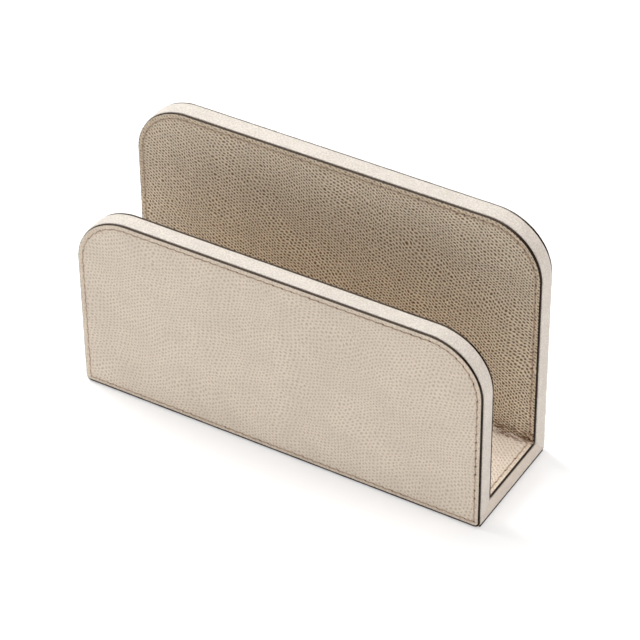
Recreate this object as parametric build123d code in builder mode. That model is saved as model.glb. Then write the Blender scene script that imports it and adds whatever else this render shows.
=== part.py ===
from build123d import *
import math
import os

os.makedirs("parts", exist_ok=True)

# A rigid stand for cards and envelopes: a low front wall, a tall back wall and a flat base, open at both
# ends. Each is a board covered in leather. One lining runs down the front wall, over the base and up the
# back wall. The outer panels and the lining have lacquered cut edges, and smooth bands cover the boards'
# edges between them.
#
# Millimetres, +Z up. X runs along the length and the front wall faces -Y. The origin is the centre of the
# underside.

# Overall sizes
length = 200.0
depth = 60.0
front_height = 94.0
back_height = 122.0
corner_radius = 26.0
wall_thickness = 10.2
base_thickness = 10.6

# Layers
leather = 0.9
backing = 0.4
skin = leather + backing
band = 1.0
band_step = 0.3  # the bands stand this far proud of the lacquered edges beside them
lacquer = 0.3
floor_gap = 0.3  # the outer panels end this far above the table
fold_radius = 1.2  # inside radius of the lining where it turns from base to wall

# Stitches
stitch_pitch = 4.4
stitch_length = 3.5
stitch_margin = 2.4  # from a lacquered edge to the stitch line
stitch_slant = 7.0  # degrees between a stitch and its line
stitch_depth = 0.35
thread_width = 0.5

# Dowels between the base board and each wall board
dowels_per_wall = 4
dowel_spacing = 50.0
dowel_radius = 2.0
dowel_in_wall = 5.5
dowel_in_base = 14.5
dowel_chamfer = 0.4

# Distances from the middle of the part
half_length = length / 2
half_depth = depth / 2
slot_face = half_depth - wall_thickness
board_inner_face = slot_face + skin
board_outer_face = half_depth - skin

# Heights
board_bottom = skin
base_board_top = base_thickness - skin

# Distances in from the outline of the edge bands
panel_inset = band_step
leather_inset = panel_inset + lacquer
stitch_inset = panel_inset + stitch_margin

# Each wall's side of the part along Y, and its height
walls = {"front": (-1, front_height), "back": (1, back_height)}


def save(part, name):
    """Label a finished piece and write it."""
    part.label = name
    export_step(part, f"parts/{name}.step")


def wall_outline(height, bottom, inset):
    """Outline of a wall, inset from the bands' outline: square at the bottom and rounded at the top."""
    top = height - inset
    with BuildSketch() as outline:
        with Locations((0, (top + bottom) / 2)):
            Rectangle(length - 2 * inset, top - bottom)
        fillet(outline.vertices().group_by(Axis.Y)[-1], radius=corner_radius - inset)
    return outline.sketch


def facing(side, distance):
    """Plane of a wall's face at a distance from the middle, with X along the length and Y up."""
    return Plane.XZ.offset(-side * distance)


def layer(side, outline, inner, outer, mode=Mode.ADD):
    """Extrude an outline between two distances from the middle, on one wall's side."""
    with BuildSketch(facing(side, inner)) as face:
        add(outline)
    extrude(face.sketch, amount=-side * (outer - inner), mode=mode)


# ---- Stitch lines ----


def wall_path(height, bottom, inset):
    """Line up one end of a wall, over its top and down the other end."""
    side_x = half_length - inset
    top = height - inset
    with BuildLine() as path:
        FilletPolyline(
            (-side_x, bottom),
            (-side_x, top),
            (side_x, top),
            (side_x, bottom),
            radius=corner_radius - inset,
        )
    return path.wire()


def straight_path(start, end):
    """Straight line between two points of a face."""
    with BuildLine() as path:
        Line(start, end)
    return path.wire()


def stitch_places(path):
    """Place and direction of each stitch along a path."""
    count = round(path.length / stitch_pitch)
    places = []
    for i in range(count):
        point = path.position_at((i + 0.5) / count)
        along = path.tangent_at((i + 0.5) / count)
        angle = math.degrees(math.atan2(along.Y, along.X)) + stitch_slant
        places.append(Location((point.X, point.Y, 0), (0, 0, angle)))
    return places


def stitch_shapes(plane, paths):
    """Outlines of all stitches along some paths of one face."""
    with BuildSketch(plane) as shapes:
        for path in paths:
            with Locations(*stitch_places(path)):
                SlotOverall(stitch_length, thread_width)
    return shapes.sketch


def panel_stitches(side, height):
    """Outlines of the stitches all round an outer panel."""
    bottom = floor_gap + stitch_margin
    end_x = half_length - stitch_inset
    paths = [
        wall_path(height, bottom, stitch_inset),
        straight_path((-end_x, bottom), (end_x, bottom)),
    ]
    return stitch_shapes(facing(side, half_depth), paths)


def lining_wall_stitches(side, height):
    """Outlines of the stitches on the lining of one wall, from fold to fold over its top."""
    bottom = base_thickness + fold_radius
    return stitch_shapes(facing(side, slot_face), [wall_path(height, bottom, stitch_inset)])


def lining_base_stitches():
    """Outlines of the stitches on the lining of the base, along its two open ends."""
    end_x = half_length - stitch_inset
    end_y = slot_face - fold_radius
    paths = [straight_path((x, -end_y), (x, end_y)) for x in (-end_x, end_x)]
    return stitch_shapes(Plane.XY.offset(base_thickness), paths)


# ---- Boards and dowels ----


def dowel_sections(side):
    """Dowel sections on the joint between the base board and a wall board."""
    with BuildSketch(facing(side, board_inner_face)) as sections:
        with Locations((0, (board_bottom + base_board_top) / 2)):
            with GridLocations(dowel_spacing, 1, dowels_per_wall, 1):
                Circle(dowel_radius)
    return sections.sketch


for wall, (side, height) in walls.items():
    with BuildPart() as wall_board:
        layer(side, wall_outline(height, board_bottom, band), board_inner_face, board_outer_face)
        extrude(dowel_sections(side), amount=-side * dowel_in_wall, mode=Mode.SUBTRACT)
    save(wall_board.part, f"{wall}_wall_board")

with BuildPart() as base_board:
    with BuildSketch(Plane.XY.offset(board_bottom)):
        Rectangle(length - 2 * band, 2 * board_inner_face)
    extrude(amount=base_board_top - board_bottom)
    for side, _ in walls.values():
        extrude(dowel_sections(side), amount=side * dowel_in_base, mode=Mode.SUBTRACT)
save(base_board.part, "base_board")

with BuildPart() as board_dowels:
    for side, _ in walls.values():
        extrude(dowel_sections(side), amount=-side * dowel_in_wall)
        extrude(dowel_sections(side), amount=side * dowel_in_base)
    dowel_ends = board_dowels.faces().filter_by(Plane.XZ)
    chamfer(dowel_ends.edges(), length=dowel_chamfer)
save(board_dowels.part, "board_dowels")


# ---- Outer panels: leather on backing, stitched together, with a lacquered edge ----

for wall, (side, height) in walls.items():
    leather_outline = wall_outline(height, floor_gap + lacquer, leather_inset)
    stitches = panel_stitches(side, height)

    with BuildPart() as panel_leather:
        layer(side, leather_outline, half_depth - leather, half_depth)
        extrude(stitches, amount=side * stitch_depth, mode=Mode.SUBTRACT)
    save(panel_leather.part, f"{wall}_panel_leather")

    with BuildPart() as panel_stitching:
        extrude(stitches, amount=side * stitch_depth)
    save(panel_stitching.part, f"{wall}_panel_stitching")

    with BuildPart() as panel_backing:
        layer(side, leather_outline, board_outer_face, half_depth - leather)
    save(panel_backing.part, f"{wall}_panel_backing")

    with BuildPart() as panel_lacquer:
        layer(side, wall_outline(height, floor_gap, panel_inset), board_outer_face, half_depth)
        layer(side, leather_outline, board_outer_face, half_depth, mode=Mode.SUBTRACT)
    save(panel_lacquer.part, f"{wall}_panel_edge_lacquer")


# ---- Inner lining: one leather over three backing sheets ----


def slot_profile(grow):
    """Section across the slot between the walls, with rounded folds, grown into the lining."""
    bottom = base_thickness - grow
    with BuildSketch() as profile:
        with Locations((0, (back_height + bottom) / 2)):
            Rectangle(2 * (slot_face + grow), back_height - bottom)
        fillet(profile.vertices().group_by(Axis.Y)[0], radius=fold_radius + grow)
    return profile.sketch


def both_walls(inset):
    """Solid over the whole depth with each wall's inset outline on its own half."""
    with BuildPart() as halves:
        for side, height in walls.values():
            layer(side, wall_outline(height, 0, inset), 0, half_depth)
    return halves.part


def lining_layer(thickness, limits):
    """Extrude a layer of the lining, down from its visible face, and trim it to a solid."""
    with BuildSketch(Plane.YZ.offset(-half_length)) as profile:
        add(slot_profile(thickness))
        add(slot_profile(0), mode=Mode.SUBTRACT)
    extrude(profile.sketch, amount=length)
    add(limits, mode=Mode.INTERSECT)


leather_limits = both_walls(leather_inset)
panel_limits = both_walls(panel_inset)

with BuildPart() as lining_leather:
    lining_layer(leather, leather_limits)
    for side, height in walls.values():
        extrude(lining_wall_stitches(side, height), amount=-side * stitch_depth, mode=Mode.SUBTRACT)
    extrude(lining_base_stitches(), amount=-stitch_depth, mode=Mode.SUBTRACT)
save(lining_leather.part, "inner_lining_leather")

with BuildPart() as lining_stitching:
    for side, height in walls.values():
        extrude(lining_wall_stitches(side, height), amount=-side * stitch_depth)
    extrude(lining_base_stitches(), amount=-stitch_depth)
save(lining_stitching.part, "inner_lining_stitching")

with BuildPart() as lining_lacquer:
    lining_layer(skin, panel_limits)
    add(leather_limits, mode=Mode.SUBTRACT)
save(lining_lacquer.part, "inner_lining_edge_lacquer")

for wall, (side, height) in walls.items():
    with BuildPart() as lining_backing:
        outline = wall_outline(height, base_board_top, leather_inset)
        layer(side, outline, slot_face + leather, board_inner_face)
    save(lining_backing.part, f"{wall}_lining_backing")

with BuildPart() as base_lining_backing:
    with BuildSketch(Plane.XY.offset(base_board_top)):
        Rectangle(length - 2 * leather_inset, 2 * (slot_face + leather))
    extrude(amount=backing)
save(base_lining_backing.part, "base_lining_backing")


# ---- Edge bands, mitred where the wall bands meet the base bands ----

for wall, (side, height) in walls.items():
    with BuildPart() as wall_band:
        band_outline = wall_outline(height, board_bottom, 0)
        layer(side, band_outline, board_inner_face, board_outer_face)
        board_outline = wall_outline(height, board_bottom, band)
        layer(side, board_outline, board_inner_face, board_outer_face, mode=Mode.SUBTRACT)
        with BuildSketch(Plane.YZ.offset(-half_length)):
            with BuildLine():
                Polyline(
                    (side * board_outer_face, board_bottom),
                    (side * board_inner_face, board_bottom),
                    (side * board_inner_face, base_board_top),
                    close=True,
                )
            make_face()
        extrude(amount=length, mode=Mode.SUBTRACT)
    save(wall_band.part, f"{wall}_edge_band")

for end, start_x in {"left": -half_length, "right": half_length - band}.items():
    with BuildPart() as base_band:
        with BuildSketch(Plane.YZ.offset(start_x)):
            with BuildLine():
                Polyline(
                    (-board_outer_face, board_bottom),
                    (board_outer_face, board_bottom),
                    (board_inner_face, base_board_top),
                    (-board_inner_face, base_board_top),
                    close=True,
                )
            make_face()
        extrude(amount=band)
    save(base_band.part, f"{end}_base_band")


# ---- Underside cover, between the outer panels ----

with BuildPart() as underside_cover:
    with BuildSketch():
        Rectangle(length - 2 * leather_inset, 2 * board_outer_face)
    extrude(amount=skin)
save(underside_cover.part, "underside_cover")

with BuildPart() as underside_lacquer:
    with BuildSketch():
        with GridLocations(length - leather_inset - panel_inset, 1, 2, 1):
            Rectangle(lacquer, 2 * board_outer_face)
    extrude(amount=skin)
save(underside_lacquer.part, "underside_edge_lacquer")
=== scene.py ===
"""A leather card holder: detailed leather, lacquer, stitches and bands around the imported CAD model.

Lengths are metres in the row frame: X along the length, the front wall towards -Y, Z up.

Each leather sheet is laid out flat first. A point of it is (u, w, h): u along the length, w across it and
h above the visible face. A placing function then puts the flat sheet on the model.
"""
import math

import bmesh
import bpy
import numpy as np
from mathutils import Matrix, Vector
from mathutils.geometry import delaunay_2d_cdt


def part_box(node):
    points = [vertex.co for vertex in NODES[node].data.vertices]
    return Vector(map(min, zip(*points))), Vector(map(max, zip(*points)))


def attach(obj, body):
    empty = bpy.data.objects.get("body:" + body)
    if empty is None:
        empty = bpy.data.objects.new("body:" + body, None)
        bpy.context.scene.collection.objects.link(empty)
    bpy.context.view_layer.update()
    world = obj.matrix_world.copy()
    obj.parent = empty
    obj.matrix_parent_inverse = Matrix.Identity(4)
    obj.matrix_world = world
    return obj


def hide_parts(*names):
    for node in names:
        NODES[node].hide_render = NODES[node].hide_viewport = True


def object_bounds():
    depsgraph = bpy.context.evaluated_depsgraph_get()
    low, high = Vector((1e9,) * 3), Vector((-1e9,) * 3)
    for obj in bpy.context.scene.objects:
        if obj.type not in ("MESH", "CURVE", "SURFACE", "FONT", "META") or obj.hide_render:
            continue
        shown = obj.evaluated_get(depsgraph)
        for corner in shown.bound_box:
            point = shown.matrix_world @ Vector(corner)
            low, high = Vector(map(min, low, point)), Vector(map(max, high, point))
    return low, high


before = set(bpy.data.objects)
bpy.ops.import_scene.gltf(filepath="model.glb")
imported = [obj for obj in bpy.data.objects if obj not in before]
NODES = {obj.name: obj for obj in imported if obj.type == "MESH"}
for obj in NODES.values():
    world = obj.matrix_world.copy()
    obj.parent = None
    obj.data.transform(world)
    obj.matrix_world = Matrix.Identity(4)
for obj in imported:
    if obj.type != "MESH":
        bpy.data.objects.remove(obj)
cad_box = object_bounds()

MM = 0.001

# ---------------------------------------------------------------- sizes from the frame

BOX_LOW, BOX_HIGH = cad_box
HALF_LENGTH = BOX_HIGH.x
HALF_DEPTH = BOX_HIGH.y

CORNER_RADIUS = 26.0 * MM
FOLD_RADIUS = 1.2 * MM
STITCH_MARGIN = 2.4 * MM
STITCH_PITCH = 4.4 * MM

BAND_LOW, BAND_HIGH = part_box("front_edge_band")
FRONT_PANEL_LOW, FRONT_PANEL_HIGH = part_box("front_panel_leather")
BACK_PANEL_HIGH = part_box("back_panel_leather")[1]
LACQUER_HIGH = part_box("front_panel_edge_lacquer")[1]
LINING_LOW, LINING_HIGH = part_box("inner_lining_leather")
BASE_BAND_LOW, BASE_BAND_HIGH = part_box("right_base_band")

LEATHER_THICKNESS = FRONT_PANEL_HIGH.y - FRONT_PANEL_LOW.y
BASE_SHEET_TOP = LINING_LOW.z + LEATHER_THICKNESS
LACQUER_THICKNESS = LACQUER_HIGH.x - FRONT_PANEL_HIGH.x
LACQUER_WRAP = 0.17 * MM
OVERLAP = LACQUER_THICKNESS - LACQUER_WRAP
PANEL_HALF_LENGTH = FRONT_PANEL_HIGH.x + OVERLAP
PANEL_RADIUS = CORNER_RADIUS - (HALF_LENGTH - PANEL_HALF_LENGTH)
FOOT_RADIUS = 2.0 * MM
SLOT_FACE = LINING_HIGH.y - LEATHER_THICKNESS
STITCH_INSET = STITCH_MARGIN - LACQUER_WRAP
RING_SPACING = 0.3 * MM


# ---------------------------------------------------------------- smooth noise for shapes


def wave_noise(points, wavelength, seed, terms=14):
    """Smooth noise of about -1 to 1 over rows of coordinates, as a sum of random plane waves."""
    draw = np.random.default_rng(seed)
    points = np.asarray(points, float)
    points = points.reshape(len(points), -1)
    total = np.zeros(len(points))
    for _ in range(terms):
        direction = draw.normal(size=points.shape[1])
        direction /= np.linalg.norm(direction)
        length = wavelength * draw.uniform(0.6, 1.6)
        total += np.sin(points @ direction * (2 * math.pi / length) + draw.uniform(0, 2 * math.pi))
    return total / math.sqrt(terms)


# ---------------------------------------------------------------- flat sheets and their outlines


class Outline:
    """Rectangle in u and w with rounded corners, as a closed ring of points that can be inset.

    Every inset has the same number of points, so that neighbouring rings join into quads.
    """

    def __init__(self, half_u, low_w, high_w, low_radius, high_radius):
        self.half_u, self.low_w, self.high_w = half_u, low_w, high_w
        self.low_radius, self.high_radius = low_radius, high_radius
        width = 2 * (half_u - low_radius)
        rise = high_w - low_w - low_radius - high_radius
        top = 2 * (half_u - high_radius)
        self.counts = {
            "low": round(width / RING_SPACING),
            "side": round(rise / RING_SPACING),
            "high": round(top / RING_SPACING),
            "low_arc": round(low_radius * math.pi / 2 / RING_SPACING),
            "high_arc": round(high_radius * math.pi / 2 / RING_SPACING),
        }

    def ring(self, inset):
        """Points at an inset, anticlockwise from the low edge's start, and the outward way at each."""
        half, low, high = self.half_u - inset, self.low_w + inset, self.high_w - inset
        r0 = max(self.low_radius - inset, 0.0)
        r1 = max(self.high_radius - inset, 0.0)
        points, outward = [], []

        def straight(start, end, count, way):
            t = np.arange(count)[:, None] / count
            points.append(np.array(start) * (1 - t) + np.array(end) * t)
            outward.append(np.tile(way, (count, 1)))

        def arc(centre, radius, first_angle, count):
            a = first_angle + np.arange(count) / max(count, 1) * math.pi / 2
            ways = np.stack([np.cos(a), np.sin(a)], 1)
            points.append(np.array(centre) + radius * ways)
            outward.append(ways)

        n = self.counts
        straight((-half + r0, low), (half - r0, low), n["low"], (0, -1))
        arc((half - r0, low + r0), r0, -math.pi / 2, n["low_arc"])
        straight((half, low + r0), (half, high - r1), n["side"], (1, 0))
        arc((half - r1, high - r1), r1, 0, n["high_arc"])
        straight((half - r1, high), (-half + r1, high), n["high"], (0, 1))
        arc((-half + r1, high - r1), r1, math.pi / 2, n["high_arc"])
        straight((-half, high - r1), (-half, low + r0), n["side"], (-1, 0))
        arc((-half + r0, low + r0), r0, math.pi, n["low_arc"])
        return np.concatenate(points), np.concatenate(outward)

    def inside(self, points, inset):
        """Which points lie inside the outline at an inset."""
        half, low, high = self.half_u - inset, self.low_w + inset, self.high_w - inset
        u, w = np.abs(points[:, 0]), points[:, 1]
        keep = (u < half) & (w > low) & (w < high)
        for radius, level, up in ((self.low_radius, low, -1), (self.high_radius, high, 1)):
            r = max(radius - inset, 0.0)
            over = (u > half - r) & ((w - (level - up * r)) * up > 0)
            keep &= ~(over & (np.hypot(u - (half - r), w - (level - up * r)) > r))
        return keep


class StitchLine:
    """Holes and stitches along a closed line inside an outline."""

    def __init__(self, outline, inset, square_low):
        ring, outward = outline.ring(inset)
        closed = np.concatenate([ring, ring[:1]])
        steps = np.linalg.norm(np.diff(closed, axis=0), axis=1)
        self.ring, self.outward = ring, outward
        self.along = np.concatenate([[0], np.cumsum(steps)])
        self.total = self.along[-1]
        self.closed = closed
        self.closed_outward = np.concatenate([outward, outward[:1]])
        breaks = [0.0, self.total]
        if square_low:
            breaks = [0.0, self.along[outline.counts["low"]], self.total]
        holes = []
        for start, end in zip(breaks[:-1], breaks[1:]):
            count = round((end - start) / STITCH_PITCH)
            holes.append(start + (end - start) * np.arange(count) / count)
        self.holes = np.concatenate(holes)

    def at(self, along):
        """Point and outward way at a distance along the line."""
        s = np.mod(along, self.total)
        point = np.stack([np.interp(s, self.along, self.closed[:, i]) for i in (0, 1)], -1)
        way = np.stack([np.interp(s, self.along, self.closed_outward[:, i]) for i in (0, 1)], -1)
        return point, way / np.linalg.norm(way, axis=-1, keepdims=True)

    def nearest_hole(self, along):
        """Signed distance along the line from each place to its nearest hole, and that hole's number."""
        holes = np.concatenate([self.holes, [self.total]])
        index = np.clip(np.searchsorted(holes, along), 1, len(holes) - 1)
        before, after = along - holes[index - 1], holes[index] - along
        number = np.where(before < after, index - 1, index) % len(self.holes)
        return np.where(before < after, before, -after), number


# ---------------------------------------------------------------- placing sheets on the model


def place_front(flat):
    """Outer face of the front wall."""
    return np.stack([flat[:, 0], -HALF_DEPTH - flat[:, 2], flat[:, 1]], 1)


def place_back(flat):
    """Outer face of the back wall."""
    return np.stack([-flat[:, 0], HALF_DEPTH + flat[:, 2], flat[:, 1]], 1)


FRONT_RUN = FRONT_PANEL_HIGH.z + OVERLAP - BASE_SHEET_TOP - FOLD_RADIUS
BACK_RUN = BACK_PANEL_HIGH.z + OVERLAP - BASE_SHEET_TOP - FOLD_RADIUS
FOLD_RUN = FOLD_RADIUS * math.pi / 2
BASE_RUN = 2 * (SLOT_FACE - FOLD_RADIUS)
FRONT_FOLD = FRONT_RUN + FOLD_RUN / 2
BACK_FOLD = FRONT_RUN + FOLD_RUN * 1.5 + BASE_RUN
LINING_RUN = FRONT_RUN + BASE_RUN + BACK_RUN + 2 * FOLD_RUN


def place_lining(flat):
    """Inner lining: down the front wall, over the base and up the back wall."""
    w = flat[:, 1]
    y, z, ny, nz = (np.zeros(len(w)) for _ in range(4))
    ends = np.cumsum([FRONT_RUN, FOLD_RUN, BASE_RUN, FOLD_RUN])
    part = np.searchsorted(ends, w)
    fold_z = BASE_SHEET_TOP + FOLD_RADIUS
    fold_y = SLOT_FACE - FOLD_RADIUS

    m = part == 0
    y[m], z[m], ny[m] = -SLOT_FACE, fold_z + FRONT_RUN - w[m], 1
    m = part == 1
    a = (w[m] - ends[0]) / FOLD_RADIUS
    ny[m], nz[m] = np.cos(a), np.sin(a)
    y[m], z[m] = -fold_y - FOLD_RADIUS * ny[m], fold_z - FOLD_RADIUS * nz[m]
    m = part == 2
    y[m], z[m], nz[m] = -fold_y + w[m] - ends[1], BASE_SHEET_TOP, 1
    m = part == 3
    a = (w[m] - ends[2]) / FOLD_RADIUS
    ny[m], nz[m] = -np.sin(a), np.cos(a)
    y[m], z[m] = fold_y - FOLD_RADIUS * ny[m], fold_z - FOLD_RADIUS * nz[m]
    m = part == 4
    y[m], z[m], ny[m] = SLOT_FACE, fold_z + w[m] - ends[3], -1
    h = flat[:, 2]
    return np.stack([flat[:, 0], y + h * ny, z + h * nz], 1)


# ---------------------------------------------------------------- making objects


def add_object(name, vertices, faces, material, uv=None, values=None):
    """Mesh object, with an optional flat layout as its UV map and optional vertex values."""
    mesh = bpy.data.meshes.new(name)
    mesh.from_pydata(np.asarray(vertices).tolist(), [], faces)
    mesh.validate()
    for polygon in mesh.polygons:
        polygon.use_smooth = True
    if uv is not None:
        layer = mesh.uv_layers.new(name="hide")
        corner_vertex = np.zeros(len(mesh.loops), int)
        mesh.loops.foreach_get("vertex_index", corner_vertex)
        layer.data.foreach_set("uv", np.asarray(uv)[corner_vertex].ravel())
    for key, value in (values or {}).items():
        mesh.attributes.new(key, "FLOAT", "POINT").data.foreach_set("value", np.asarray(value, float))
    mesh.materials.append(material)
    piece = bpy.data.objects.new(name, mesh)
    bpy.context.collection.objects.link(piece)
    return piece


def ring_faces(count, first, second):
    """Quads between two closed rings of vertices that start at two indices."""
    return [
        (first + i, first + (i + 1) % count, second + (i + 1) % count, second + i) for i in range(count)
    ]


def fill(boundary, inner, first_boundary, first_inner):
    """Triangles over a closed ring of points and the loose points inside it."""
    points = [Vector(p) for p in np.concatenate([boundary, inner])]
    n = len(boundary)
    loop = [(i, (i + 1) % n) for i in range(n)]
    made, _, triangles, origins, _, _ = delaunay_2d_cdt(points, loop, [list(range(n))], 1, 1e-9)
    number = [o[0] for o in origins]
    vertex = [first_boundary + i if i < n else first_inner + i - n for i in range(len(points))]
    return [tuple(vertex[number[i]] for i in t) for t in triangles]


def grid_inside(outline, inset, step, extra_rows=()):
    """Jittered points inside an outline, with closer rows where the sheet bends."""
    draw = np.random.default_rng(5)
    u = np.arange(-outline.half_u, outline.half_u, step)
    w = np.arange(outline.low_w, outline.high_w, step)
    grid = np.stack(np.meshgrid(u, w), -1).reshape(-1, 2)
    grid += draw.uniform(-0.2, 0.2, grid.shape) * step
    for low, high, row_step, u_step in extra_rows:
        grid = grid[(grid[:, 1] < low - row_step) | (grid[:, 1] > high + row_step)]
        rows = np.arange(low, high, row_step)
        columns = np.arange(-outline.half_u, outline.half_u, u_step)
        dense = np.stack(np.meshgrid(columns, rows), -1).reshape(-1, 2)
        grid = np.concatenate([grid, dense])
    return grid[outline.inside(grid, inset + 0.35 * MM)]


# ---------------------------------------------------------------- leather sheets

EDGE_INSETS = np.array(
    [0, 0.12, 0.3, 0.5, 0.75, 1.05, 1.3, 1.5, 1.65, 1.8, 1.95, 2.1]
    + [2.25, 2.4, 2.55, 2.7, 2.9, 3.2, 3.6, 4.2, 5.0, 6.0]
) * MM
STITCH_OFFSET = 0.24 * MM
HOLE_DEPTH = 0.36 * MM
HOLE_LENGTH = 0.6 * MM
HOLE_WIDTH = 0.32 * MM
HOLE_SLANT = 0.4
BASE_PRINT_AND_SHADE = 0.4
DEEPEST_PRINT_AND_SHADE = 1.6
GROOVE_DEPTH = 0.1 * MM
GROOVE_WIDTH = 0.28 * MM
CREASE_REACH = 2.8 * MM
CREASE_HEIGHT = 0.65 * MM
DEEPEST_DENT = 0.6 * MM  # keeps the face clear of the sheet's underside


def lining_print_and_shade(flat, folds):
    """How strong the grain is over the lining, in bump and in its painted pit shade and ridge highlight:
    flat on the base, deepest low on the back wall and weaker towards its top and its -X end, so that the
    painted shade is strongest where light grazes the wall.
    """
    in_base = (flat[:, 1] > folds[0][0]) & (flat[:, 1] < folds[1][0])
    up_wall = np.clip((flat[:, 1] - folds[1][0]) / BACK_RUN, 0, 1)
    along = flat[:, 0] / HALF_LENGTH
    wall = DEEPEST_PRINT_AND_SHADE - 0.45 * up_wall**2 - 0.3 * np.clip(-along, 0, 1) ** 2
    return np.where(in_base, BASE_PRINT_AND_SHADE, wall)


def sheet_shape(inset, from_hole, openness, flat, folds):
    """Height of the leather's face, and the vertex values that its material reads."""
    roll = -0.1 * MM * np.exp(-inset / (0.22 * MM))
    margin = 0.04 * MM * np.exp(-(((inset - 1.1 * MM) / (0.6 * MM)) ** 2))
    across = inset - STITCH_INSET
    groove = np.exp(-((across / GROOVE_WIDTH) ** 2))
    slanted = across + HOLE_SLANT * from_hole
    hole = openness * np.exp(-((from_hole / HOLE_LENGTH) ** 2) - (slanted / HOLE_WIDTH) ** 2)
    swell = 0.035 * MM * wave_noise(flat, 22 * MM, 3) + 0.012 * MM * wave_noise(flat, 5 * MM, 4)
    height = roll + margin - GROOVE_DEPTH * groove - HOLE_DEPTH * hole + swell
    smooth = np.clip((4.6 * MM - inset) / (3.2 * MM), 0, 1)
    print_and_shade_depth = np.ones(len(flat))
    if folds:
        print_and_shade_depth = lining_print_and_shade(flat, folds)
    crease_shade = np.zeros(len(flat))
    for fold, up in folds:
        away = (flat[:, 1] - fold) * up
        reach = np.where(away > 0, CREASE_REACH * 1.6, CREASE_REACH * 0.6)
        near = np.exp(-((away / reach) ** 2))
        stretched = np.stack([flat[:, 0] * 0.34 + away * 0.3, away], 1)
        fine = wave_noise(stretched, 1.2 * MM, 21, 18)
        coarse = wave_noise(stretched, 3.0 * MM, 22)
        ridge = 1 - np.abs(0.8 * fine + 0.35 * coarse)
        height = height + near * CREASE_HEIGHT * (ridge - 0.5)
        # painted shade: darker in the wrinkles' troughs and in a band along the fold's corner, where shade
        # falls
        fold_shade = 0.1 * np.exp(-((away / (1.5 * MM)) ** 2))
        crease_shade = np.maximum(crease_shade, near * np.clip(0.74 - ridge, 0, 1) * 1.3 + fold_shade)
    height = np.maximum(height, -DEEPEST_DENT)
    values = {"hole": hole, "groove": groove, "crease_shade": crease_shade, "smooth": smooth, "print_and_shade": print_and_shade_depth}
    return height, values


def leather_sheet(name, node, outline, square_low, place, folds, material):
    """Closed leather sheet with a dressed edge, a stitch groove, holes and creases at its folds."""
    line = StitchLine(outline, STITCH_INSET, square_low)
    count = len(line.ring)
    from_hole, number = line.nearest_hole(line.along[:-1])
    draw = np.random.default_rng(count)
    hole_place = line.at(line.holes)[0][:, 0] / HALF_LENGTH
    # Holes open wider towards +X, which deepens both their dents and their painted shade
    openness = draw.uniform(0.35, 1.2, len(line.holes)) * (0.85 + 0.35 * hole_place)
    openness = openness[number]
    flats, insets, distances, opennesses = [], [], [], []
    for inset in EDGE_INSETS:
        ring, _ = outline.ring(inset)
        flats.append(ring)
        insets.append(np.full(count, inset))
        distances.append(from_hole)
        opennesses.append(openness)
    deepest = EDGE_INSETS[-1]
    extra = [(fold - 7 * MM, fold + 7 * MM, 0.36 * MM, 0.7 * MM) for fold, _ in folds]
    inner = grid_inside(outline, deepest, 2.6 * MM, extra)
    flats.append(inner)
    insets.append(np.full(len(inner), 1.0))
    distances.append(np.full(len(inner), 1.0))
    opennesses.append(np.zeros(len(inner)))
    flat = np.concatenate(flats)
    height, values = sheet_shape(
        np.concatenate(insets), np.concatenate(distances), np.concatenate(opennesses), flat, folds
    )

    faces = []
    for i in range(len(EDGE_INSETS) - 1):
        faces += ring_faces(count, i * count, (i + 1) * count)
    last = (len(EDGE_INSETS) - 1) * count
    faces += fill(flats[-2], inner, last, last + count)

    under_first = len(flat)
    under_ring = flats[0]
    under_rows = [(fold - 1.6 * MM, fold + 1.6 * MM, 0.4 * MM, 8 * MM) for fold, _ in folds]
    under_inner = grid_inside(outline, 1 * MM, 9 * MM, under_rows)
    under = np.concatenate([under_ring, under_inner])
    under_height = np.full(len(under), -LEATHER_THICKNESS)
    faces += ring_faces(count, under_first, 0)
    under_faces = fill(under_ring, under_inner, under_first, under_first + count)
    faces += [tuple(reversed(f)) for f in under_faces]

    flat = np.concatenate([flat, under])
    heights = np.concatenate([height, under_height])
    values = {key: np.concatenate([value, np.zeros(len(under))]) for key, value in values.items()}
    vertices = place(np.column_stack([flat, heights]))
    piece = add_object(name, vertices, faces, material, uv=flat, values=values)
    finish_piece(piece, node)
    return line


def finish_piece(piece, node):
    """Ride on the only body and take the place of one CAD node, which is hidden."""
    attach(piece, "root")
    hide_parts(node)


# ---------------------------------------------------------------- lacquered edges

# Section of the lacquer: outwards from the leather's cut edge, and up from the sheet's visible face
LACQUER_SECTION = np.array([
    (-0.02, -1.3), (0.06, -1.3), (0.12, -1.25), (0.16, -1.12), (0.18, -0.9), (0.185, -0.62),
    (0.18, -0.34), (0.165, -0.2), (0.13, -0.1), (0.07, -0.045), (0.0, -0.05), (-0.06, -0.14), (-0.06, -0.5),
]) * MM
LACQUER_REACH = LACQUER_SECTION[:, 0].max()
FACE_WRAP = 0.6 * MM  # furthest that the bead laps over the face, along wrap_way


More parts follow.
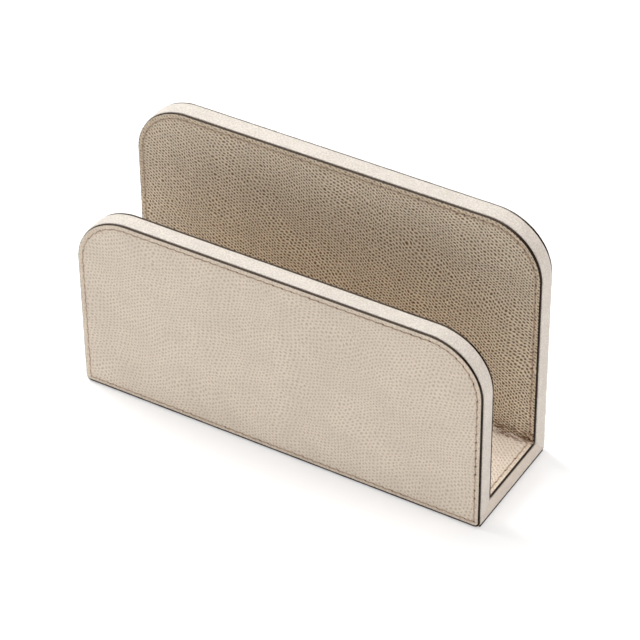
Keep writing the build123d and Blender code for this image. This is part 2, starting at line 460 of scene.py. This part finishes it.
def lacquer_edge(name, node, outline, place, seed, wrap_way):
    """Bead of edge lacquer all round a sheet, a little uneven as it is brushed on by hand."""
    count = len(outline.ring(0)[0])
    along = np.arange(count) * RING_SPACING
    turn = np.stack([np.cos(2 * math.pi * along / along[-1]), np.sin(2 * math.pi * along / along[-1])], 1)
    lap = turn * along[-1] / (2 * math.pi)
    uneven = 0.03 * MM * wave_noise(lap, 7 * MM, seed) + 0.022 * MM * wave_noise(lap, 2.2 * MM, seed + 1)
    spots = np.clip(wave_noise(lap, 2.6 * MM, seed + 2, 20) - 1.7, 0, 1) * 0.22 * MM
    rings = []
    for out, up in LACQUER_SECTION:
        weight = max(out, 0) / LACQUER_REACH
        ring, outward = outline.ring(-out)
        over = FACE_WRAP * np.clip(outward @ wrap_way, 0, 1) * (out <= 0) * (up > -0.2 * MM)
        ring = ring - outward * over[:, None]
        ring = ring + outward * ((uneven + spots) * weight)[:, None]
        rise = up + (0.5 * uneven + 0.8 * spots) * (up > -0.5 * MM) * weight + 0.35 * over
        rings.append(np.column_stack([ring, rise]))
    faces = []
    for i in range(len(rings)):
        faces += ring_faces(count, ((i + 1) % len(rings)) * count, i * count)
    piece = add_object(name, place(np.concatenate(rings)), faces, lacquer_material)
    finish_piece(piece, node)


# ---------------------------------------------------------------- stitches

THREAD_RADIUS = 0.24 * MM
THREAD_GAP = 0.4 * MM  # from a hole's centre to the end of its stitch
THREAD_STEPS = 13
THREAD_SIDES = 12


def stitching(name, node, line, place, seed):
    """Every stitch of a sheet: a twisted thread that rises from one hole and dives into the next."""
    draw = np.random.default_rng(seed)
    holes = np.concatenate([line.holes, [line.total]])
    t = np.linspace(0, 1, THREAD_STEPS)
    angles = np.arange(THREAD_SIDES) * 2 * math.pi / THREAD_SIDES
    vertices, faces, layout = [], [], []
    for start, end in zip(holes[:-1], holes[1:]):
        s = start + THREAD_GAP + (end - start - 2 * THREAD_GAP) * t
        centre, outward = line.at(s)
        slant = STITCH_OFFSET * draw.uniform(0.75, 1.25)
        wander = draw.normal(0, 0.035 * MM)
        lean = slant * np.cos(math.pi * t) + wander
        centre = centre + outward * lean[:, None]
        lift = draw.uniform(0.02, 0.1) * MM
        height = -0.5 * MM + (0.46 * MM + lift) * np.sin(math.pi * t) ** 0.5
        way = np.gradient(centre, axis=0)
        way = np.column_stack([way, np.gradient(height)])
        way /= np.linalg.norm(way, axis=1, keepdims=True)
        side = np.column_stack([outward, np.zeros(len(t))])
        side -= way * np.sum(side * way, axis=1, keepdims=True)
        side /= np.linalg.norm(side, axis=1, keepdims=True)
        up = np.cross(way, side)
        twist = 2 * math.pi * (1.6 * t + draw.uniform())
        radius = THREAD_RADIUS * draw.uniform(0.93, 1.07)
        first = len(vertices) * THREAD_SIDES * THREAD_STEPS
        lobes = 1 + 0.13 * np.cos(3 * (angles[None] - twist[:, None]))
        out = np.cos(angles)[None] * lobes * radius * 1.08
        rise = np.sin(angles)[None] * lobes * radius * 0.9
        flat = np.column_stack([centre, height])[:, None]
        flat = flat + side[:, None] * out[..., None] + up[:, None] * rise[..., None]
        vertices.append(flat.reshape(-1, 3))
        tile = np.stack(np.broadcast_arrays(t[:, None] * 1.6, angles[None] / (2 * math.pi)), -1)
        layout.append(tile.reshape(-1, 2))
        for i in range(THREAD_STEPS - 1):
            faces += ring_faces(THREAD_SIDES, first + i * THREAD_SIDES, first + (i + 1) * THREAD_SIDES)
        last = first + (THREAD_STEPS - 1) * THREAD_SIDES
        faces.append(tuple(first + i for i in reversed(range(THREAD_SIDES))))
        faces.append(tuple(last + i for i in range(THREAD_SIDES)))
    placed = place(np.concatenate(vertices))
    piece = add_object(name, placed, faces, thread_material, uv=np.concatenate(layout))
    finish_piece(piece, node)


# ---------------------------------------------------------------- edge bands


def band_section(width, thickness):
    """Section of a band: across its width, and up from its face. Its long edges are turned over."""
    outer = [(0.0, -0.42), (0.05, -0.24), (0.16, -0.1), (0.34, -0.02), (0.6, 0.01)]
    left = [(v * MM, h * MM) for v, h in outer]
    fractions = (0.15, 0.25, 0.38, 0.5, 0.62, 0.75, 0.85)
    middle = [(width * f, 0.03 * MM * math.sin(math.pi * f)) for f in fractions]
    right = [(width - v, h) for v, h in reversed(left)]
    return np.array([(0.0, -thickness)] + left + middle + right + [(width, -thickness)])


def swept_band(name, node, rows, material):
    """Closed band from rows of points, each row running across the section."""
    rows = np.asarray(rows)
    along, across = rows.shape[:2]
    faces = []
    for i in range(along - 1):
        faces += ring_faces(across, i * across, (i + 1) * across)
    faces.append(tuple(reversed(range(across))))
    faces.append(tuple((along - 1) * across + i for i in range(across)))
    vertices = rows[..., :3].reshape(-1, 3)
    layout = rows[..., 3:].reshape(-1, 2)
    piece = add_object(name, vertices, faces, material, uv=layout)
    bpy.context.view_layer.update()
    make_outward(piece)
    finish_piece(piece, node)


def make_outward(piece):
    """Turn a closed piece's faces outwards."""
    work = bmesh.new()
    work.from_mesh(piece.data)
    bmesh.ops.recalc_face_normals(work, faces=work.faces)
    work.to_mesh(piece.data)
    work.free()


def end_round(distance):
    """How far a band's face sinks close to its cut end."""
    return -0.07 * MM * np.exp(-distance / (0.1 * MM))


FAR_LIFT = 0.4 * MM  # extra height of the back band's far side on its straight runs
MITRE_GAP = 0.01 * MM


def wall_band(name, node, low, high, side):
    """Band over the top and both ends of a wall, cut to a mitre where the base bands meet it."""
    width = high.y - low.y
    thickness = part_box("right_base_band")[1].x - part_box("right_base_band")[0].x
    section = band_section(width, thickness)
    v, h = section[:, 0], section[:, 1]
    outer_y = low.y if side < 0 else high.y
    y = outer_y - side * v
    mitre = low.z + (BASE_BAND_HIGH.z - BASE_BAND_LOW.z) * v / width + MITRE_GAP
    arc_z = high.z - CORNER_RADIUS
    ends = np.array([0, 0.06, 0.15, 0.3, 0.6, 1.0, 2.0]) * MM
    step = 0.7 * MM
    rise = arc_z - low.z
    fractions = np.concatenate([ends / rise, np.arange(3 * MM, rise, step * 2) / rise])
    seed = 31 if side < 0 else 32
    far_side = np.clip(1 - v / (0.6 * width), 0, 1) if side > 0 else np.zeros(len(v))
    rows = []

    def add_row(x, z, way, distance_to_end, place_along):
        lift = FAR_LIFT * far_side * (1 - abs(2 * way[0] * way[1]))
        bump = h + np.where(h > -thickness * 0.9, end_round(distance_to_end) + lift, 0)
        wave = 0.03 * MM * wave_noise(np.array([[place_along, 0.0]]), 18 * MM, seed)[0]
        bump = bump + np.where(h > -thickness * 0.9, wave, 0)
        px = x + way[0] * bump
        pz = z + way[1] * bump
        rows.append(np.column_stack([px, y, pz, np.full(len(v), place_along), v]))

    for f in fractions:
        z = mitre + (arc_z - mitre) * f
        add_row(-HALF_LENGTH, z, (-1, 0), (z - mitre).min(), low.z + rise * f)
    arc_steps = round(CORNER_RADIUS * math.pi / 2 / step)
    for i in range(arc_steps):
        a = math.pi - i / arc_steps * math.pi / 2
        way = (math.cos(a), math.sin(a))
        x = -HALF_LENGTH + CORNER_RADIUS + CORNER_RADIUS * way[0]
        z = np.full(len(v), arc_z + CORNER_RADIUS * way[1])
        add_row(x, z, way, 1.0, arc_z + i * step)
    travelled = arc_z + arc_steps * step
    top_run = 2 * (HALF_LENGTH - CORNER_RADIUS)
    for i in range(round(top_run / (2 * step))):
        x = -HALF_LENGTH + CORNER_RADIUS + i * 2 * step
        add_row(x, np.full(len(v), high.z), (0, 1), 1.0, travelled + i * 2 * step)
    travelled += top_run
    for i in range(arc_steps):
        a = math.pi / 2 - i / arc_steps * math.pi / 2
        way = (math.cos(a), math.sin(a))
        x = HALF_LENGTH - CORNER_RADIUS + CORNER_RADIUS * way[0]
        z = np.full(len(v), arc_z + CORNER_RADIUS * way[1])
        add_row(x, z, way, 1.0, travelled + i * step)
    travelled += arc_steps * step
    for f in fractions[::-1]:
        z = mitre + (arc_z - mitre) * f
        add_row(HALF_LENGTH, z, (1, 0), (z - mitre).min(), travelled + rise * (1 - f))
    swept_band(name, node, rows, band_material)


def base_band(name, node, side):
    """Band over one end of the base, mitred at both ends."""
    low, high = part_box(node)
    width = high.z - low.z
    section = band_section(width, high.x - low.x)
    v, h = section[:, 0], section[:, 1]
    z = low.z + v
    wall = BAND_HIGH.y - BAND_LOW.y
    reach = high.y - wall * v / width - MITRE_GAP
    ends = np.array([0, 0.06, 0.15, 0.3, 0.6, 1.0]) * MM / high.y
    half = np.concatenate([ends, np.linspace(1.6 * MM / high.y, 1, 18)])
    fractions = np.concatenate([half - 1, (1 - half[::-1])[1:]])
    rows = []
    for f in fractions:
        y = reach * f
        sink = end_round((1 - abs(f)) * high.y)
        bump = h + np.where(h > -(high.x - low.x) * 0.9, sink, 0)
        x = side * (HALF_LENGTH + bump)
        rows.append(np.column_stack([x, y, z, y, v + 0.05]))
    swept_band(name, node, rows, base_band_material)


# ---------------------------------------------------------------- materials


class Nodes:
    """Short calls for a material's node tree."""

    def __init__(self, name):
        self.material = bpy.data.materials.new(name)
        self.material.use_nodes = True
        self.tree = self.material.node_tree
        self.shader = self.tree.nodes["Principled BSDF"]

    def node(self, kind, settings=None):
        made = self.tree.nodes.new(kind)
        for key, value in (settings or {}).items():
            setattr(made, key, value)
        return made

    def put(self, node, socket, value):
        target = node.inputs[socket] if not socket.isdigit() else node.inputs[int(socket)]
        if isinstance(value, bpy.types.NodeSocket):
            self.tree.links.new(value, target)
        else:
            target.default_value = value

    def math(self, operation, a, b=0.0, clamp=False):
        made = self.node("ShaderNodeMath", {"operation": operation, "use_clamp": clamp})
        self.put(made, "0", a)
        self.put(made, "1", b)
        return made.outputs[0]

    def ramp(self, value, stops):
        made = self.node("ShaderNodeValToRGB")
        self.put(made, "Fac", value)
        elements = made.color_ramp.elements
        while len(elements) < len(stops):
            elements.new(0.5)
        for element, (place, colour) in zip(elements, stops):
            element.position = place
            element.color = (*colour, 1) if isinstance(colour, tuple) else (colour, colour, colour, 1)
        return made.outputs["Color"]

    def range(self, value, low, high, to_low=0.0, to_high=1.0):
        made = self.node("ShaderNodeMapRange", {"interpolation_type": "SMOOTHSTEP"})
        self.put(made, "Value", value)
        limits = {"From Min": low, "From Max": high, "To Min": to_low, "To Max": to_high}
        for key, number in limits.items():
            made.inputs[key].default_value = number
        return made.outputs["Result"]

    def mix(self, factor, a, b, blend="MIX"):
        made = self.node("ShaderNodeMix", {"data_type": "RGBA", "blend_type": blend})
        self.put(made, "0", factor)
        self.put(made, "6", a if isinstance(a, bpy.types.NodeSocket) else (*a, 1))
        self.put(made, "7", b if isinstance(b, bpy.types.NodeSocket) else (*b, 1))
        return made.outputs[2]

    def grey(self, value):
        """A grey colour from a number."""
        made = self.node("ShaderNodeCombineColor")
        for index in "012":
            self.put(made, index, value)
        return made.outputs[0]

    def noise(self, vector, scale, detail=3.0, rough=0.5, dimensions="3D"):
        made = self.node("ShaderNodeTexNoise", {"noise_dimensions": dimensions})
        self.put(made, "Vector", vector)
        made.inputs["Scale"].default_value = scale
        made.inputs["Detail"].default_value = detail
        made.inputs["Roughness"].default_value = rough
        return made

    def bump(self, height, distance, strength=1.0):
        made = self.node("ShaderNodeBump")
        self.put(made, "Height", height)
        made.inputs["Distance"].default_value = distance
        made.inputs["Strength"].default_value = strength
        return made.outputs["Normal"]

    def flat_layout(self, turn):
        """The sheet's flat layout in metres, turned by an angle."""
        layout = self.node("ShaderNodeUVMap", {"uv_map": "hide"})
        mapping = self.node("ShaderNodeMapping")
        self.put(mapping, "Vector", layout.outputs["UV"])
        mapping.inputs["Rotation"].default_value = (0, 0, turn)
        return mapping.outputs["Vector"]

    def object_place(self):
        return self.node("ShaderNodeTexCoord").outputs["Object"]


# The lattice runs from LATTICE_LOW on the ridges to 1 at the dots
LATTICE_LOW = -0.5
LATTICE_SPAN = 1.5
FINE_SHARE = 0.8
HOLE_SHADE_COLOUR = (0.13, 0.07, 0.042)
# Painted shade in the lining's wrinkles and along its folds
CREASE_SHADE_COLOUR = (0.27, 0.17, 0.11)
MARGIN_COLOUR = (1.0, 0.985, 0.96)
# Tint of the lining's directly lit base, paler and cooler than its shaded walls
LINING_BASE_LIT_TINT = (1.05, 1.08, 1.16)


def drifting(m, place, size, reach):
    """Layout coordinates pushed about by smooth noise of a size, by up to half a reach."""
    push = m.noise(place, 1 / size, 1.0, 0.5, "2D")
    drift = m.node("ShaderNodeVectorMath", {"operation": "SCALE"})
    m.put(drift, "0", push.outputs["Color"])
    drift.inputs["Scale"].default_value = reach
    moved = m.node("ShaderNodeVectorMath", {"operation": "ADD"})
    m.put(moved, "0", place)
    m.put(moved, "1", drift.outputs[0])
    return moved.outputs[0]


def dotted_lattice(m, place, row_spacing, weights):
    """Sum of three plane waves 60 degrees apart: 1 at the dots of a triangular lattice, -0.5 between."""
    total = 0.0
    for index, weight in enumerate(weights):
        turned = m.node("ShaderNodeMapping")
        m.put(turned, "Vector", place)
        turned.inputs["Rotation"].default_value = (0, 0, math.radians(60 * index))
        parts = m.node("ShaderNodeSeparateXYZ")
        m.put(parts, "0", turned.outputs["Vector"])
        phase = m.math("MULTIPLY", parts.outputs[0], 2 * math.pi / row_spacing)
        wave = m.math("MULTIPLY", m.math("COSINE", phase), weight / sum(weights))
        total = m.math("ADD", wave, total)
    return total


def vertex_value(m, key):
    """A value that the mesh carries at its vertices."""
    return m.node("ShaderNodeAttribute", {"attribute_name": key}).outputs["Fac"]


def grained_leather(name, turn, ridge, flat, pit_and_shade, shade, row_spacing, weights, depth):
    """Leather printed with a dotted grain: soft round pits between a net of low ridges, coloured with
    painted shade in the pits and a painted highlight on the ridges.
    """
    m = Nodes(name)
    place = m.flat_layout(turn)
    fine = m.noise(place, 1 / (0.55 * MM), 2.0, 0.6, "2D").outputs["Fac"]
    patchy = m.noise(place, 1 / (2.6 * MM), 1.0, 0.5, "2D").outputs["Fac"]
    broad = m.noise(place, 1 / (11 * MM), 2.0, 0.5, "2D").outputs["Fac"]
    blotch = m.noise(place, 1 / (42 * MM), 2.0, 0.55, "2D").outputs["Fac"]
    moved = drifting(m, drifting(m, place, 36 * MM, 8 * MM), 3.2 * MM, 1.5 * MM)
    lattice = dotted_lattice(m, moved, row_spacing, weights)
    lattice = m.math("ADD", lattice, m.math("MULTIPLY", m.math("SUBTRACT", fine, 0.5), FINE_SHARE))
    smooth = vertex_value(m, "smooth")
    strength = m.range(patchy, 0.3, 0.6, 0.62, 1.0)
    strength = m.math("MULTIPLY", strength, m.range(broad, 0.3, 0.65, 0.8, 1.0))
    strength = m.math("MULTIPLY", strength, m.range(smooth, 0.0, 1.0, 1.0, 0.64))
    # the print strength also scales the grain's painted shade and highlight
    strength = m.math("MULTIPLY", strength, vertex_value(m, "print_and_shade"))
    level = m.math("MULTIPLY", m.math("MULTIPLY", lattice, strength), 1 / LATTICE_SPAN)
    level = m.math("ADD", level, -LATTICE_LOW / LATTICE_SPAN)
    m.put(m.shader, "Normal", m.bump(m.math("SUBTRACT", 1.0, level), depth))

    # The ramp paints shade into the pits and a highlight onto the ridges, on top of the leather's own tone
    colour = m.ramp(level, [(0.02, ridge), (0.36, flat), (0.86, pit_and_shade)])
    tone = m.math("ADD", m.math("MULTIPLY", broad, 0.5), m.math("MULTIPLY", blotch, 0.5))
    colour = m.mix(1.0, colour, m.grey(m.range(tone, 0.32, 0.68, shade, 1.0)), "MULTIPLY")
    speck = m.range(fine, 0.32, 0.68, 0.9, 1.1)
    colour = m.mix(1.0, colour, m.grey(speck), "MULTIPLY")
    colour = m.mix(smooth, colour, m.mix(1.0, colour, MARGIN_COLOUR, "MULTIPLY"))
    # painted shade: the stitch groove is darkened towards the pit colour
    colour = m.mix(m.math("MULTIPLY", vertex_value(m, "groove"), 0.5), colour, pit_and_shade)
    # painted shade in the wrinkles at the lining's folds
    colour = m.mix(m.math("MULTIPLY", vertex_value(m, "crease_shade"), 2.2, True), colour, CREASE_SHADE_COLOUR)
    # painted shade: the stitch holes are darkened almost to black brown
    colour = m.mix(m.math("MULTIPLY", vertex_value(m, "hole"), 1.5, True), colour, HOLE_SHADE_COLOUR)
    # painted light: where the grain is printed shallow, on the lining's base, the colour turns paler and
    # cooler, a lit copy of the leather whose walls are coloured for their shade
    pressed = m.range(vertex_value(m, "print_and_shade"), BASE_PRINT_AND_SHADE, 1.0, 1.0, 0.0)
    colour = m.mix(pressed, colour, m.mix(1.0, colour, LINING_BASE_LIT_TINT, "MULTIPLY"))
    m.put(m.shader, "Base Color", colour)
    m.put(m.shader, "Roughness", m.range(level, 0.2, 0.8, 0.55, 0.75))
    m.shader.inputs["Specular IOR Level"].default_value = 0.2
    return m.material


# The panels' ridges are paler than the flat as a painted highlight on the pebbles
PANEL_COLOURS = {"ridge": (0.855, 0.745, 0.625), "flat": (0.79, 0.685, 0.57), "pit_and_shade": (0.59, 0.475, 0.365)}
PANEL_GRAIN = {"shade": 0.94, "row_spacing": 1.66 * MM, "weights": (1.0, 1.0, 1.0), "depth": 0.13 * MM}
# The lining's near-black pits are painted shade in the grain's hollows, and its pale ridges are a painted
# highlight. Its colours are more saturated than the panels' to match the leather in the slot's shade. The
# heavier third wave lines the ridges up along one way: partly the grain's run, partly a painted highlight
# of light grazing it.
LINING_COLOURS = {"ridge": (0.92, 0.8, 0.635), "flat": (0.67, 0.565, 0.445), "pit_and_shade": (0.19, 0.12, 0.062)}
LINING_GRAIN = {"shade": 0.93, "row_spacing": 1.5 * MM, "weights": (0.75, 0.75, 1.5), "depth": 0.3 * MM}

front_leather = grained_leather("front_leather", math.radians(8), **PANEL_COLOURS, **PANEL_GRAIN)
back_leather = grained_leather("back_leather", math.radians(20), **PANEL_COLOURS, **PANEL_GRAIN)
lining_leather = grained_leather("lining_leather", math.radians(185), **LINING_COLOURS, **LINING_GRAIN)


def smooth_leather(name, light, dark, turn):
    """Thin smooth leather of the edge bands: the same hide, with its grain almost pressed out."""
    m = Nodes(name)
    place = m.flat_layout(turn)
    cells = m.node("ShaderNodeTexVoronoi", {"voronoi_dimensions": "2D", "feature": "F1"})
    m.put(cells, "Vector", place)
    cells.inputs["Scale"].default_value = 1 / (1.4 * MM)
    cells.inputs["Randomness"].default_value = 0.8
    fine = m.noise(place, 1 / (0.85 * MM), 3.0, 0.65, "2D").outputs["Fac"]
    tint = m.noise(place, 1 / (1.6 * MM), 2.0, 0.5, "2D").outputs["Fac"]
    broad = m.noise(place, 1 / (7 * MM), 3.0, 0.55, "2D").outputs["Fac"]
    pressed = m.math("MULTIPLY", cells.outputs["Distance"], 0.6)
    height = m.math("ADD", pressed, m.math("MULTIPLY", fine, 0.5))
    m.put(m.shader, "Normal", m.bump(height, 0.13 * MM))
    tone = m.math("ADD", m.math("MULTIPLY", broad, 0.2), m.math("MULTIPLY", fine, 0.8))
    colour = m.ramp(tone, [(0.4, dark), (0.6, light)])
    warm = m.ramp(tint, [(0.35, (1.0, 1.0, 0.94)), (0.65, (1.0, 0.965, 0.97))])
    colour = m.mix(1.0, colour, warm, "MULTIPLY")
    m.put(m.shader, "Base Color", colour)
    m.put(m.shader, "Roughness", m.range(fine, 0.3, 0.7, 0.46, 0.6))
    m.shader.inputs["Specular IOR Level"].default_value = 0.35
    return m.material


band_material = smooth_leather("band_leather", (0.61, 0.57, 0.525), (0.47, 0.435, 0.395), 0.0)
base_band_material = smooth_leather("base_band_leather", (0.59, 0.53, 0.47), (0.48, 0.425, 0.37), 0.0)


# Colour of the painted highlight on the lacquer's up-facing top, standing for the overhead light's sheen
LACQUER_TOP_HIGHLIGHT = (0.062, 0.048, 0.037)


def lacquer():
    """Satin dark brown edge lacquer with brush ripples, and a painted highlight where it faces up."""
    m = Nodes("edge_lacquer")
    place = m.object_place()
    ripple = m.noise(place, 1 / (1.6 * MM), 2.0, 0.5).outputs["Fac"]
    fine = m.noise(place, 1 / (0.3 * MM), 2.0, 0.5).outputs["Fac"]
    m.put(m.shader, "Normal", m.bump(m.math("ADD", ripple, m.math("MULTIPLY", fine, 0.25)), 0.09 * MM))
    colour = m.ramp(ripple, [(0.3, (0.013, 0.007, 0.0045)), (0.7, (0.028, 0.0155, 0.0105))])
    facing = m.node("ShaderNodeSeparateXYZ")
    m.put(facing, "0", m.node("ShaderNodeNewGeometry").outputs["Normal"])
    # painted highlight: paler grey where the lacquer's normal faces up
    painted_top_highlight = m.range(facing.outputs[2], 0.75, 1.0)
    colour = m.mix(painted_top_highlight, colour, LACQUER_TOP_HIGHLIGHT)
    m.put(m.shader, "Base Color", colour)
    m.put(m.shader, "Roughness", m.range(fine, 0.3, 0.7, 0.42, 0.6))
    m.shader.inputs["IOR"].default_value = 1.15
    return m.material


lacquer_material = lacquer()


def thread():
    """Waxed sewing thread: three twisted plies with fine fibres."""
    m = Nodes("thread")
    layout = m.node("ShaderNodeUVMap", {"uv_map": "hide"}).outputs["UV"]
    parts = m.node("ShaderNodeSeparateXYZ")
    m.put(parts, "0", layout)
    turns = m.math("SUBTRACT", parts.outputs[1], parts.outputs[0])
    ply = m.math("SINE", m.math("MULTIPLY", turns, 3 * 2 * math.pi))
    place = m.object_place()
    fibre = m.noise(place, 1 / (0.12 * MM), 3.0, 0.6).outputs["Fac"]
    tint = m.noise(place, 1 / (14 * MM), 2.0, 0.5).outputs["Fac"]
    height = m.math("ADD", m.math("MULTIPLY", ply, 0.5), m.math("MULTIPLY", fibre, 0.4))
    m.put(m.shader, "Normal", m.bump(height, 0.06 * MM))
    base = m.ramp(tint, [(0.3, (0.5, 0.34, 0.235)), (0.7, (0.6, 0.43, 0.31))])
    shade = m.range(ply, -1.0, 0.4, 0.66, 1.0)
    m.put(m.shader, "Base Color", m.mix(1.0, base, m.grey(shade), "MULTIPLY"))
    m.put(m.shader, "Roughness", m.range(fibre, 0.2, 0.8, 0.5, 0.75))
    return m.material


thread_material = thread()


def fibrous(name, light, dark, coarse, roughness, stretch=(1, 1, 1)):
    """Matt fibrous stuff for suede, bonded sheet, fibreboard and dowels."""
    m = Nodes(name)
    mapping = m.node("ShaderNodeMapping")
    m.put(mapping, "Vector", m.object_place())
    mapping.inputs["Scale"].default_value = stretch
    place = mapping.outputs["Vector"]
    nap = m.noise(place, 1 / coarse, 5.0, 0.65).outputs["Fac"]
    cloud = m.noise(place, 1 / (coarse * 18), 3.0, 0.55).outputs["Fac"]
    m.put(m.shader, "Normal", m.bump(nap, coarse * 0.25, 0.8))
    tone = m.math("ADD", m.math("MULTIPLY", nap, 0.45), m.math("MULTIPLY", cloud, 0.55))
    m.put(m.shader, "Base Color", m.ramp(tone, [(0.35, dark), (0.65, light)]))
    m.put(m.shader, "Roughness", m.range(nap, 0.3, 0.7, roughness - 0.08, min(roughness + 0.08, 1.0)))
    return m.material


suede_material = fibrous("suede", (0.5, 0.4, 0.3), (0.4, 0.31, 0.23), 0.35 * MM, 0.9)
suede_material.node_tree.nodes["Principled BSDF"].inputs["Sheen Weight"].default_value = 0.25
backing_material = fibrous("backing_board", (0.36, 0.26, 0.17), (0.24, 0.17, 0.11), 0.3 * MM, 0.8)
board_material = fibrous("core_board", (0.5, 0.37, 0.24), (0.38, 0.27, 0.17), 0.45 * MM, 0.8)
dowel_material = fibrous("dowel_wood", (0.62, 0.45, 0.27), (0.5, 0.34, 0.19), 0.5 * MM, 0.6, (1, 0.08, 1))

KEPT_NODES = {
    "underside_cover": suede_material,
    "underside_edge_lacquer": lacquer_material,
    "front_panel_backing": backing_material,
    "back_panel_backing": backing_material,
    "front_lining_backing": backing_material,
    "back_lining_backing": backing_material,
    "base_lining_backing": backing_material,
    "front_wall_board": board_material,
    "back_wall_board": board_material,
    "base_board": board_material,
    "board_dowels": dowel_material,
}
for node, material in KEPT_NODES.items():
    for material_slot in NODES[node].material_slots:
        material_slot.link = "OBJECT"
        material_slot.material = material

# ---------------------------------------------------------------- the leather pieces

PANEL_FOOT = FRONT_PANEL_LOW.z - OVERLAP / 2
front_outline = Outline(
    PANEL_HALF_LENGTH, PANEL_FOOT, FRONT_PANEL_HIGH.z + OVERLAP, FOOT_RADIUS, PANEL_RADIUS
)
back_outline = Outline(
    PANEL_HALF_LENGTH, PANEL_FOOT, BACK_PANEL_HIGH.z + OVERLAP, FOOT_RADIUS, PANEL_RADIUS
)
lining_outline = Outline(PANEL_HALF_LENGTH, 0.0, LINING_RUN, PANEL_RADIUS, PANEL_RADIUS)

FOLDS = ((FRONT_FOLD, -1), (BACK_FOLD, 1))
SHEETS = [
    ("front_panel", "front_panel", front_outline, True, place_front, (), front_leather),
    ("back_panel", "back_panel", back_outline, True, place_back, (), back_leather),
    ("lining", "inner_lining", lining_outline, False, place_lining, FOLDS, lining_leather),
]
for index, (name, node, outline, square_low, place, folds, material) in enumerate(SHEETS):
    line = leather_sheet(f"{name}_hide", f"{node}_leather", outline, square_low, place, folds, material)
    wrap_way = (0.5, -1.0) if square_low else (0.5, 0.0)
    lacquer_edge(f"{name}_lacquer", f"{node}_edge_lacquer", outline, place, 40 + 10 * index, wrap_way)
    stitching(f"{name}_stitches", f"{node}_stitching", line, place, 70 + index)

wall_band("front_band", "front_edge_band", BAND_LOW, BAND_HIGH, -1)
back_low, back_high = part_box("back_edge_band")
wall_band("back_band", "back_edge_band", back_low, back_high, 1)
base_band("left_band", "left_base_band", -1)
base_band("right_band", "right_base_band", 1)

# ---------------------------------------------------------------- floor, light and camera


def floor():
    """Plain white floor."""
    bpy.ops.mesh.primitive_plane_add(size=12)
    plane = bpy.context.object
    plane.name = "floor"
    m = Nodes("floor")
    m.shader.inputs["Base Color"].default_value = (0.62, 0.62, 0.62, 1)
    m.shader.inputs["Roughness"].default_value = 0.9
    m.shader.inputs["Emission Color"].default_value = (1, 1, 1, 1)
    m.shader.inputs["Emission Strength"].default_value = 0.356
    plane.data.materials.append(m.material)


def softbox(name, place, target, size, power, colour=(1, 1, 1)):
    """Square area light that faces a point."""
    data = bpy.data.lights.new(name, "AREA")
    data.shape = "SQUARE"
    data.size = size
    data.energy = power
    data.color = colour
    lamp = bpy.data.objects.new(name, data)
    lamp.location = place
    lamp.rotation_euler = (Vector(target) - Vector(place)).to_track_quat("-Z", "Y").to_euler()
    bpy.context.collection.objects.link(lamp)


def light():
    """Softboxes overhead and on all four sides."""
    world = bpy.data.worlds.new("studio")
    bpy.context.scene.world = world
    world.use_nodes = True
    background = world.node_tree.nodes["Background"]
    background.inputs["Color"].default_value = (1.0, 1.0, 1.0, 1)
    background.inputs["Strength"].default_value = 0.13
    centre = (0, 0, BOX_HIGH.z / 2)
    softbox("key_light", (-1.0, 0.2, 1.1), centre, 0.8, 20.3)
    softbox("top_light", (0.0, 0.0, 1.6), centre, 1.6, 13.4)
    softbox("small_top_light", (-0.2, 0.2, 1.4), centre, 0.5, 2.2)
    softbox("right_light", (2.0, 0.0, 0.9), centre, 1.5, 27.5, (1.0, 0.945, 0.935))
    softbox("back_light", (0.0, 2.0, 0.9), centre, 1.5, 8.5)
    softbox("front_light", (0.0, -2.0, 0.9), centre, 1.5, 3.4)


AZIMUTH = math.radians(31.16)
ELEVATION = math.radians(38.18)
ROLL = math.radians(0.71)
LENS = 172.04
CAMERA_TARGET = Vector((0.00164, 0.00498, 0.04982))
CAMERA_DISTANCE = 1.3237


def camera():
    """Long lens from the front right and above."""
    data = bpy.data.cameras.new("camera")
    data.sensor_width = 36
    data.lens = LENS
    view = bpy.data.objects.new("camera", data)
    level = math.cos(ELEVATION)
    forward = Vector((-math.sin(AZIMUTH) * level, math.cos(AZIMUTH) * level, -math.sin(ELEVATION)))
    view.location = CAMERA_TARGET - forward * CAMERA_DISTANCE
    turn = forward.to_track_quat("-Z", "Y").to_matrix().to_4x4()
    view.matrix_world = Matrix.Translation(view.location) @ turn @ Matrix.Rotation(-ROLL, 4, "Z")
    bpy.context.collection.objects.link(view)
    data.clip_start = 0.05
    bpy.context.scene.camera = view


floor()
light()
camera()
bpy.context.scene.view_settings.view_transform = "Standard"
